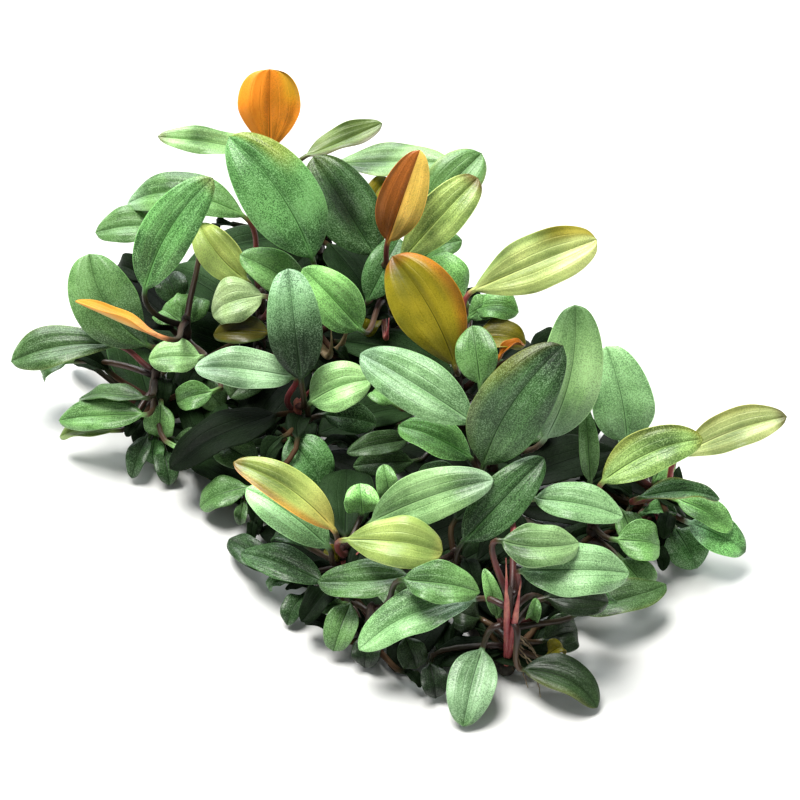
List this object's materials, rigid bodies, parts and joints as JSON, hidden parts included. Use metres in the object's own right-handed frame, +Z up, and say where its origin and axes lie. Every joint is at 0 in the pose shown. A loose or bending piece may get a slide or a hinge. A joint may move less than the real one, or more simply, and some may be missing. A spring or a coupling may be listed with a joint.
{
  "type": "aquarium plant clump, bucephalandra",
  "caption": "Low spreading clump of an aquarium plant: creeping rhizomes with short stems, and stalked oval leaves, dark green with orange, olive and lime young ones.",
  "frame": {"origin": "on the surface that the clump rests on, under the middle of its box", "axes": "+Z up, +X to the right and -Y to the front, as in the picture; the clump runs from the back left to the front right"},
  "size_m": [0.2372, 0.2104, 0.0875],
  "materials": {
    "leaf_dark": "old leaf: dark green with fine pale speckles, satin wax",
    "leaf_green": "grown leaf: mid green, paler over the midrib, satin wax",
    "leaf_pale": "leaf seen in full light: pale green, satin wax",
    "leaf_lime": "young leaf: yellow-green with brown margins, glossy",
    "leaf_olive": "young leaf: olive to golden, reddish at the tip, glossy",
    "leaf_orange": "newest leaf: orange with a dark red midrib, glossy",
    "leaf_copper": "new leaf: copper brown on one half, golden on the other, glossy",
    "rhizome": "rhizome, stems and stalks: maroon brown to pink-red, semi-matt"
  },
  "bodies": {
    "root": {"leaf_centre_front": "leaf_green", "leaf_centre_frosted": "leaf_pale", "leaf_centre_large": "leaf_dark", "leaf_centre_left": "leaf_green", "leaf_east_centre_lime": "leaf_lime", "leaf_east_centre_olive": "leaf_olive", "leaf_east_frosted": "leaf_green", "leaf_east_level": "leaf_dark", "leaf_east_lime": "leaf_lime", "leaf_east_low": "leaf_dark", "leaf_front_back": "leaf_green", "leaf_front_east": "leaf_green", "leaf_front_long": "leaf_green", "leaf_front_low": "leaf_green", "leaf_front_low_right": "leaf_green", "leaf_front_pale": "leaf_pale", "leaf_front_right": "leaf_green", "leaf_front_tip": "leaf_green", "leaf_front_west_lime": "leaf_lime", "leaf_front_west_long": "leaf_green", "leaf_front_west_low": "leaf_dark", "leaf_front_west_pale": "leaf_lime", "leaf_front_west_right": "leaf_pale", "leaf_inner_east_long": "leaf_green", "leaf_inner_west_arched": "leaf_green", "leaf_inner_west_curled": "leaf_pale", "leaf_inner_west_lime": "leaf_lime", "leaf_mid_north_large": "leaf_dark", "leaf_middle_left": "leaf_green", "leaf_middle_right": "leaf_dark", "leaf_north_back": "leaf_pale", "leaf_north_east_copper": "leaf_copper", "leaf_north_east_dark": "leaf_dark", "leaf_north_east_hidden": "leaf_green", "leaf_north_east_pale": "leaf_pale", "leaf_north_east_side": "leaf_green", "leaf_north_folded": "leaf_lime", "leaf_north_orange": "leaf_orange", "leaf_north_pale": "leaf_pale", "leaf_north_west_back": "leaf_green", "leaf_north_west_broad": "leaf_green", "leaf_north_west_orange": "leaf_orange", "leaf_north_west_pale": "leaf_pale", "leaf_north_west_upright": "leaf_dark", "leaf_south_west_dark": "leaf_dark", "leaf_south_west_left": "leaf_pale", "leaf_south_west_right": "leaf_pale", "leaf_south_west_round": "leaf_dark", "leaf_west_front": "leaf_green", "leaf_west_outer": "leaf_green", "rhizome_centre": "rhizome", "rhizome_east": "rhizome", "rhizome_east_centre": "rhizome", "rhizome_front": "rhizome", "rhizome_front_west": "rhizome", "rhizome_mid_north": "rhizome", "rhizome_north": "rhizome", "rhizome_north_east": "rhizome", "rhizome_south_west": "rhizome", "rhizome_west": "rhizome"}
  },
  "joints": []
}
